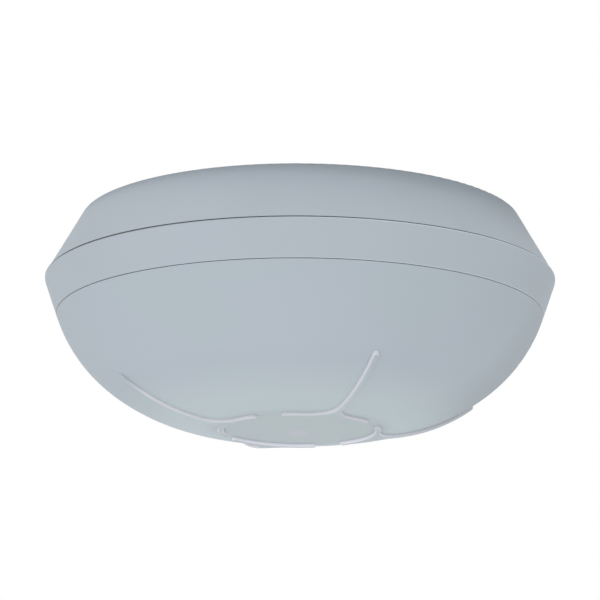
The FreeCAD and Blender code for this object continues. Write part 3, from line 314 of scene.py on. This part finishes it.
def crown_rise(tree, height, radius):
    """Give the height above the dome's lower curve, which only the ridges have."""
    across = maths(tree, "SUBTRACT", radius, CROWN_CENTRE[0])
    across = maths(tree, "MAXIMUM", across, 0.0)
    along = maths(tree, "SUBTRACT", height, CROWN_CENTRE[1])
    joined = tree.nodes.new("ShaderNodeCombineXYZ")
    tree.links.new(across, joined.inputs["X"])
    tree.links.new(along, joined.inputs["Y"])
    away = span(tree, joined.outputs["Vector"], (1.0, 1.0, 1.0))
    return maths(tree, "SUBTRACT", away, CROWN_RADIUS)


def skin_tone(tree, place, axes, radius):
    """Give the lens skin's colour: painted light and shade by radius, a painted highlight, slow
    clouds, painted shade on the far side.
    """
    reach = ranged(tree, radius, 0.0, LENS_REACH)
    tone = ramp(tree, reach, [(part / LENS_REACH, linear(colour)) for part, colour in LENS_LIGHT_AND_SHADE_TONES])
    # Painted highlight on the apex disc
    spot = span(tree, place, PAINTED_HIGHLIGHT_STRETCH, PAINTED_HIGHLIGHT_SHIFT)
    spot = ranged(tree, spot, *PAINTED_HIGHLIGHT_EDGE, 1.0, 0.0)
    tone = blended(tree, spot, tone, linear(PAINTED_HIGHLIGHT_TONE))
    cloud = noise(tree, place, CLOUD_SCALE, detail=3.0)
    tone = tinted(tree, tone, ramp(tree, cloud, CLOUD_STOPS))
    # Painted shade on the dome's far side, more at the right
    shade = maths(tree, "MULTIPLY", ranged(tree, axes["Y"], *SHADE_BY_Y),
                  ranged(tree, radius, *SHADE_BY_RADIUS))
    shade = maths(tree, "MULTIPLY", shade, ranged(tree, axes["X"], *SHADE_SIDES, *SHADE_SHARES))
    return scaled(tree, tone, maths(tree, "SUBTRACT", 1.0, shade))


def ridge_highlight_share(tree, axes, radius):
    """Give a factor for the painted highlight: one on the ridges' flanks, less where an arm fades.
    """
    rise = crown_rise(tree, axes["Z"], radius)
    share = maths(tree, "MULTIPLY", ranged(tree, rise, *RIDGE_FOOT),
                  ranged(tree, rise, *RIDGE_CREST, 1.0, 0.0))
    for start, end, rest in RIDGE_HIGHLIGHT_FADES:
        fade = ranged(tree, axes["X"], start, end, 1.0, rest)
        share = maths(tree, "MULTIPLY", share, fade)
    return share


def lens_skin(name):
    """Thin milky lens plastic with glossier ridges, whose flanks carry a painted highlight."""
    material, tree, shader = new_material(name)
    place = object_place(tree)
    axes = axes_of(tree, place)
    radius = span(tree, place, (1.0, 1.0, 0.0))
    share = ridge_highlight_share(tree, axes, radius)
    # Painted highlight on the ridges' flanks, whiter on the far arcs round the disc
    far_arc_highlight = maths(tree, "MULTIPLY", ranged(tree, axes["Y"], *FAR_ARC_BY_Y),
                   ranged(tree, radius, *FAR_ARC_BY_RADIUS, 1.0, 0.0))
    ridge = blended(tree, far_arc_highlight, linear(RIDGE_HIGHLIGHT_TONE), linear(FAR_ARC_HIGHLIGHT_TONE))
    colour = blended(tree, share, skin_tone(tree, place, axes, radius), ridge)
    tree.links.new(colour, shader.inputs["Base Color"])
    fine = noise(tree, place, LENS_GRAIN_SCALE, detail=3.0, roughness=0.6)
    rough = ranged(tree, share, 0.0, 1.0, LENS_ROUGH, RIDGE_ROUGH)
    grain = ranged(tree, fine, 0.0, 1.0, -LENS_GRAIN_ROUGH, LENS_GRAIN_ROUGH)
    tree.links.new(maths(tree, "ADD", rough, grain), shader.inputs["Roughness"])
    add_relief(tree, shader, fine, LENS_GRAIN_DEPTH)
    shader.inputs["Specular IOR Level"].default_value = LENS_GLOSS
    return material


# The materials and their nodes

SHELL_TONE = (178, 187, 195)

housing = moulded("housing_shell", linear(SHELL_TONE), 0.6, vary=0.015, gloss=0.2)
ring = moulded("ring_shell", linear(SHELL_TONE), 0.6, vary=0.015, gloss=0.2)
# Painted seam shade at the left and painted light at the right, on the edges along both seams
paint_seam_light_and_shade(housing, start=-0.0168, end=-0.017, left=0.9, right=1.4)      # its lower edge
paint_seam_light_and_shade(ring, start=-0.01758, end=-0.0173, left=0.15, right=1.45)     # its upper edge
paint_seam_light_and_shade(ring, start=-0.0271, end=-0.02735, left=0.9, right=1.35)      # its lower edge
lens = lens_skin("lens_shell")
retainer = moulded("retainer_shell", linear((178, 184, 190)), 0.55)
turret = moulded("turret_shell", linear((200, 204, 208)), 0.55)
board = circuit("board_resist", linear((24, 96, 52)), linear((58, 132, 74)))
screw = brushed("screw_plating", (0.60, 0.60, 0.62), 0.32)
shield = brushed("shield_tin", (0.68, 0.69, 0.70), 0.38, along=(40.0, 1.0, 1.0))
sensor_can = brushed("sensor_can", (0.64, 0.65, 0.67), 0.25)
patch = moulded("patch_gold", (0.80, 0.58, 0.24), 0.25, metal=1.0, vary=0.05)
window = moulded("filter_window_glass", (0.05, 0.05, 0.07), 0.08, vary=0.1, metal=0.6, coat=1.0)
terminal = moulded("terminal_green", linear((38, 132, 84)), 0.5, vary=0.04)
relay = moulded("relay_case", linear((222, 222, 216)), 0.3, coat=0.4)
black = moulded("black_moulding", linear((34, 34, 37)), 0.45, vary=0.08)
can = brushed("capacitor_can_metal", (0.55, 0.56, 0.60), 0.3, along=(1.0, 1.0, 12.0))
plunger = moulded("plunger_red", linear((196, 48, 40)), 0.45, vary=0.04)
trimmer = moulded("trimmer_blue", linear((38, 88, 168)), 0.3, coat=0.5, vary=0.04)
rotor = moulded("rotor_cream", linear((228, 224, 208)), 0.45, vary=0.03)

by_node = {
    "mounting_base": housing, "cover_ring": ring, "lens_dome": lens, "lens_retainer": retainer,
    "retainer_screws": screw, "main_board": board, "board_screws": screw,
    "sensor_turret": turret, "turret_screws": screw, "microwave_board": board,
    "microwave_shield": shield, "antenna_patches": patch, "microwave_screws": screw,
    "terminal_block": terminal, "terminal_screws": screw, "alarm_relay": relay,
    "controller_chip": black, "voltage_regulator": black, "capacitor_1": can,
    "capacitor_2": can, "tamper_switch": black, "tamper_plunger": plunger,
    "range_trimmer": trimmer, "trimmer_rotor": rotor, "jumper_header": black,
    "jumper_cap": black,
    "walk_test_lamp_red": lamp_plastic("lamp_red", linear((206, 52, 44))),
    "walk_test_lamp_yellow": lamp_plastic("lamp_yellow", linear((226, 188, 48))),
    "walk_test_lamp_green": lamp_plastic("lamp_green", linear((64, 178, 84)))}
for number in range(1, 5):
    by_node["heat_sensor_%d" % number] = sensor_can
    by_node["filter_window_%d" % number] = window
if set(by_node) != set(nodes):
    raise RuntimeError("nodes without a material: %s" % sorted(set(by_node) ^ set(nodes)))
for node, material in by_node.items():
    nodes[node].data.materials.clear()
    nodes[node].data.materials.append(material)


# Floor and world: both are white to the camera, and keep their own light for the object

FLOOR_REACH = 12.0
FLOOR_HEIGHT = -1.5
FLOOR_WHITE_SHARE = 0.7                     # the rest is paper that takes the lamps' light
PAPER_TONE = (0.8, 0.8, 0.8, 1.0)
MATT = 0.9
WORLD_LIGHT = 0.8

scene = bpy.context.scene
scene.view_settings.view_transform = "Standard"


def camera_side_mix(tree):
    """Give a factor that is one for rays seen by the camera, in mirrors and through glass."""
    path = tree.nodes.new("ShaderNodeLightPath")
    total = path.outputs["Is Camera Ray"]
    for extra in ("Is Glossy Ray", "Is Transmission Ray"):
        total = maths(tree, "MAXIMUM", total, path.outputs[extra])
    return total


def mix_surfaces(tree, share, first, second, output):
    """Send a mix of two shaders to the tree's output."""
    mix = tree.nodes.new("ShaderNodeMixShader")
    tree.links.new(share, mix.inputs["Fac"])
    tree.links.new(first, mix.inputs[1])
    tree.links.new(second, mix.inputs[2])
    tree.links.new(mix.outputs["Shader"], tree.nodes[output].inputs["Surface"])


corners = [(x * FLOOR_REACH, y * FLOOR_REACH, FLOOR_HEIGHT)
           for x, y in ((-1, -1), (1, -1), (1, 1), (-1, 1))]
floor_mesh = bpy.data.meshes.new("studio_floor")
floor_mesh.from_pydata(corners, [], [(0, 1, 2, 3)])
floor = bpy.data.objects.new("studio_floor", floor_mesh)
scene.collection.objects.link(floor)

paper, tree, shader = new_material("floor_paper")
shader.inputs["Base Color"].default_value = PAPER_TONE
shader.inputs["Roughness"].default_value = MATT
floor_mesh.materials.append(paper)
white = tree.nodes.new("ShaderNodeEmission")
white.inputs["Strength"].default_value = 1.0
share = maths(tree, "MULTIPLY", camera_side_mix(tree), FLOOR_WHITE_SHARE)
mix_surfaces(tree, share, shader.outputs["BSDF"], white.outputs["Emission"], "Material Output")

world = bpy.data.worlds.new("studio_world")
scene.world = world
world.use_nodes = True
tree = world.node_tree
soft_light = tree.nodes["Background"]
soft_light.inputs["Color"].default_value = WHITE
soft_light.inputs["Strength"].default_value = WORLD_LIGHT
seen = tree.nodes.new("ShaderNodeBackground")
seen.inputs["Color"].default_value = WHITE
seen.inputs["Strength"].default_value = 1.0
mix_surfaces(tree, camera_side_mix(tree), soft_light.outputs["Background"],
             seen.outputs["Background"], "World Output")


# Lamps

LAMP_TARGET = Vector((0.0, 0.0, -0.03))
LAMPS = (                                   # name, place, side and power
    ("front_lamp", (0.0, -1.9, 0.1), 1.6, 9.5),
    ("side_lamp", (-1.8, -0.2, -0.3), 1.0, 2.7),
    ("low_lamp", (0.0, 0.1, -1.45), 1.0, 3.0),
    ("low_left_lamp", (-0.6, 0.0, -1.35), 1.0, 1.8))

for name, place, side, power in LAMPS:
    lamp_data = bpy.data.lights.new(name, "AREA")
    lamp_data.shape = "SQUARE"
    lamp_data.size = side
    lamp_data.energy = power
    lamp = bpy.data.objects.new(name, lamp_data)
    scene.collection.objects.link(lamp)
    lamp.location = place
    lamp.rotation_mode = "QUATERNION"
    lamp.rotation_quaternion = (LAMP_TARGET - Vector(place)).to_track_quat("-Z", "Y")
    lamp.visible_camera = False


# The ceiling round the base's edge: a matt ring that only takes light away, unseen itself

CEILING_STEPS = 96
CEILING_INNER = 0.0608
CEILING_OUTER = 0.0720
CEILING_SHIFT = 0.009                       # of the outer edge, to the right
CEILING_HEIGHT = 0.0005

corners, faces = [], []
for step in range(CEILING_STEPS):
    turn = 2 * math.pi * step / CEILING_STEPS
    x, y = math.cos(turn), math.sin(turn)
    corners.append((CEILING_INNER * x, CEILING_INNER * y, CEILING_HEIGHT))
    corners.append((CEILING_SHIFT + CEILING_OUTER * x, CEILING_OUTER * y, CEILING_HEIGHT))
    following = 2 * ((step + 1) % CEILING_STEPS)
    faces.append((2 * step, 2 * step + 1, following + 1, following))
shade_mesh = bpy.data.meshes.new("ceiling_shade")
shade_mesh.from_pydata(corners, [], faces)
paint, tree, shader = new_material("ceiling_shade_paint")
shader.inputs["Base Color"].default_value = PAPER_TONE
shader.inputs["Roughness"].default_value = MATT
shade_mesh.materials.append(paint)
shade = bpy.data.objects.new("ceiling_shade", shade_mesh)
scene.collection.objects.link(shade)
shade.visible_camera = False
shade.visible_glossy = False
shade.visible_transmission = False


# Camera, fitted to the photo's outline and seams

CAMERA_AIM = Vector((0.0, 0.0, -0.0171))
CAMERA_DISTANCE = 0.937
CAMERA_ELEVATION = math.radians(-13.97)
CAMERA_ROLL = math.radians(0.28)
CAMERA_LENS = 201.47                        # in millimetres, as is the sensor's width
CAMERA_SHIFT = (-0.0001, -0.03)

camera_data = bpy.data.cameras.new("photo_camera")
camera_data.sensor_width = 36.0
camera_data.lens = CAMERA_LENS
camera_data.clip_start = 0.01
camera_data.clip_end = 60.0
camera_data.shift_x, camera_data.shift_y = CAMERA_SHIFT
camera = bpy.data.objects.new("photo_camera", camera_data)
scene.collection.objects.link(camera)
away = Vector((0.0, -math.cos(CAMERA_ELEVATION), math.sin(CAMERA_ELEVATION)))
facing = (-away).to_track_quat("-Z", "Y")
camera.location = CAMERA_AIM + away * CAMERA_DISTANCE
camera.rotation_mode = "QUATERNION"
camera.rotation_quaternion = facing @ Quaternion((0, 0, 1), CAMERA_ROLL)
scene.camera = camera
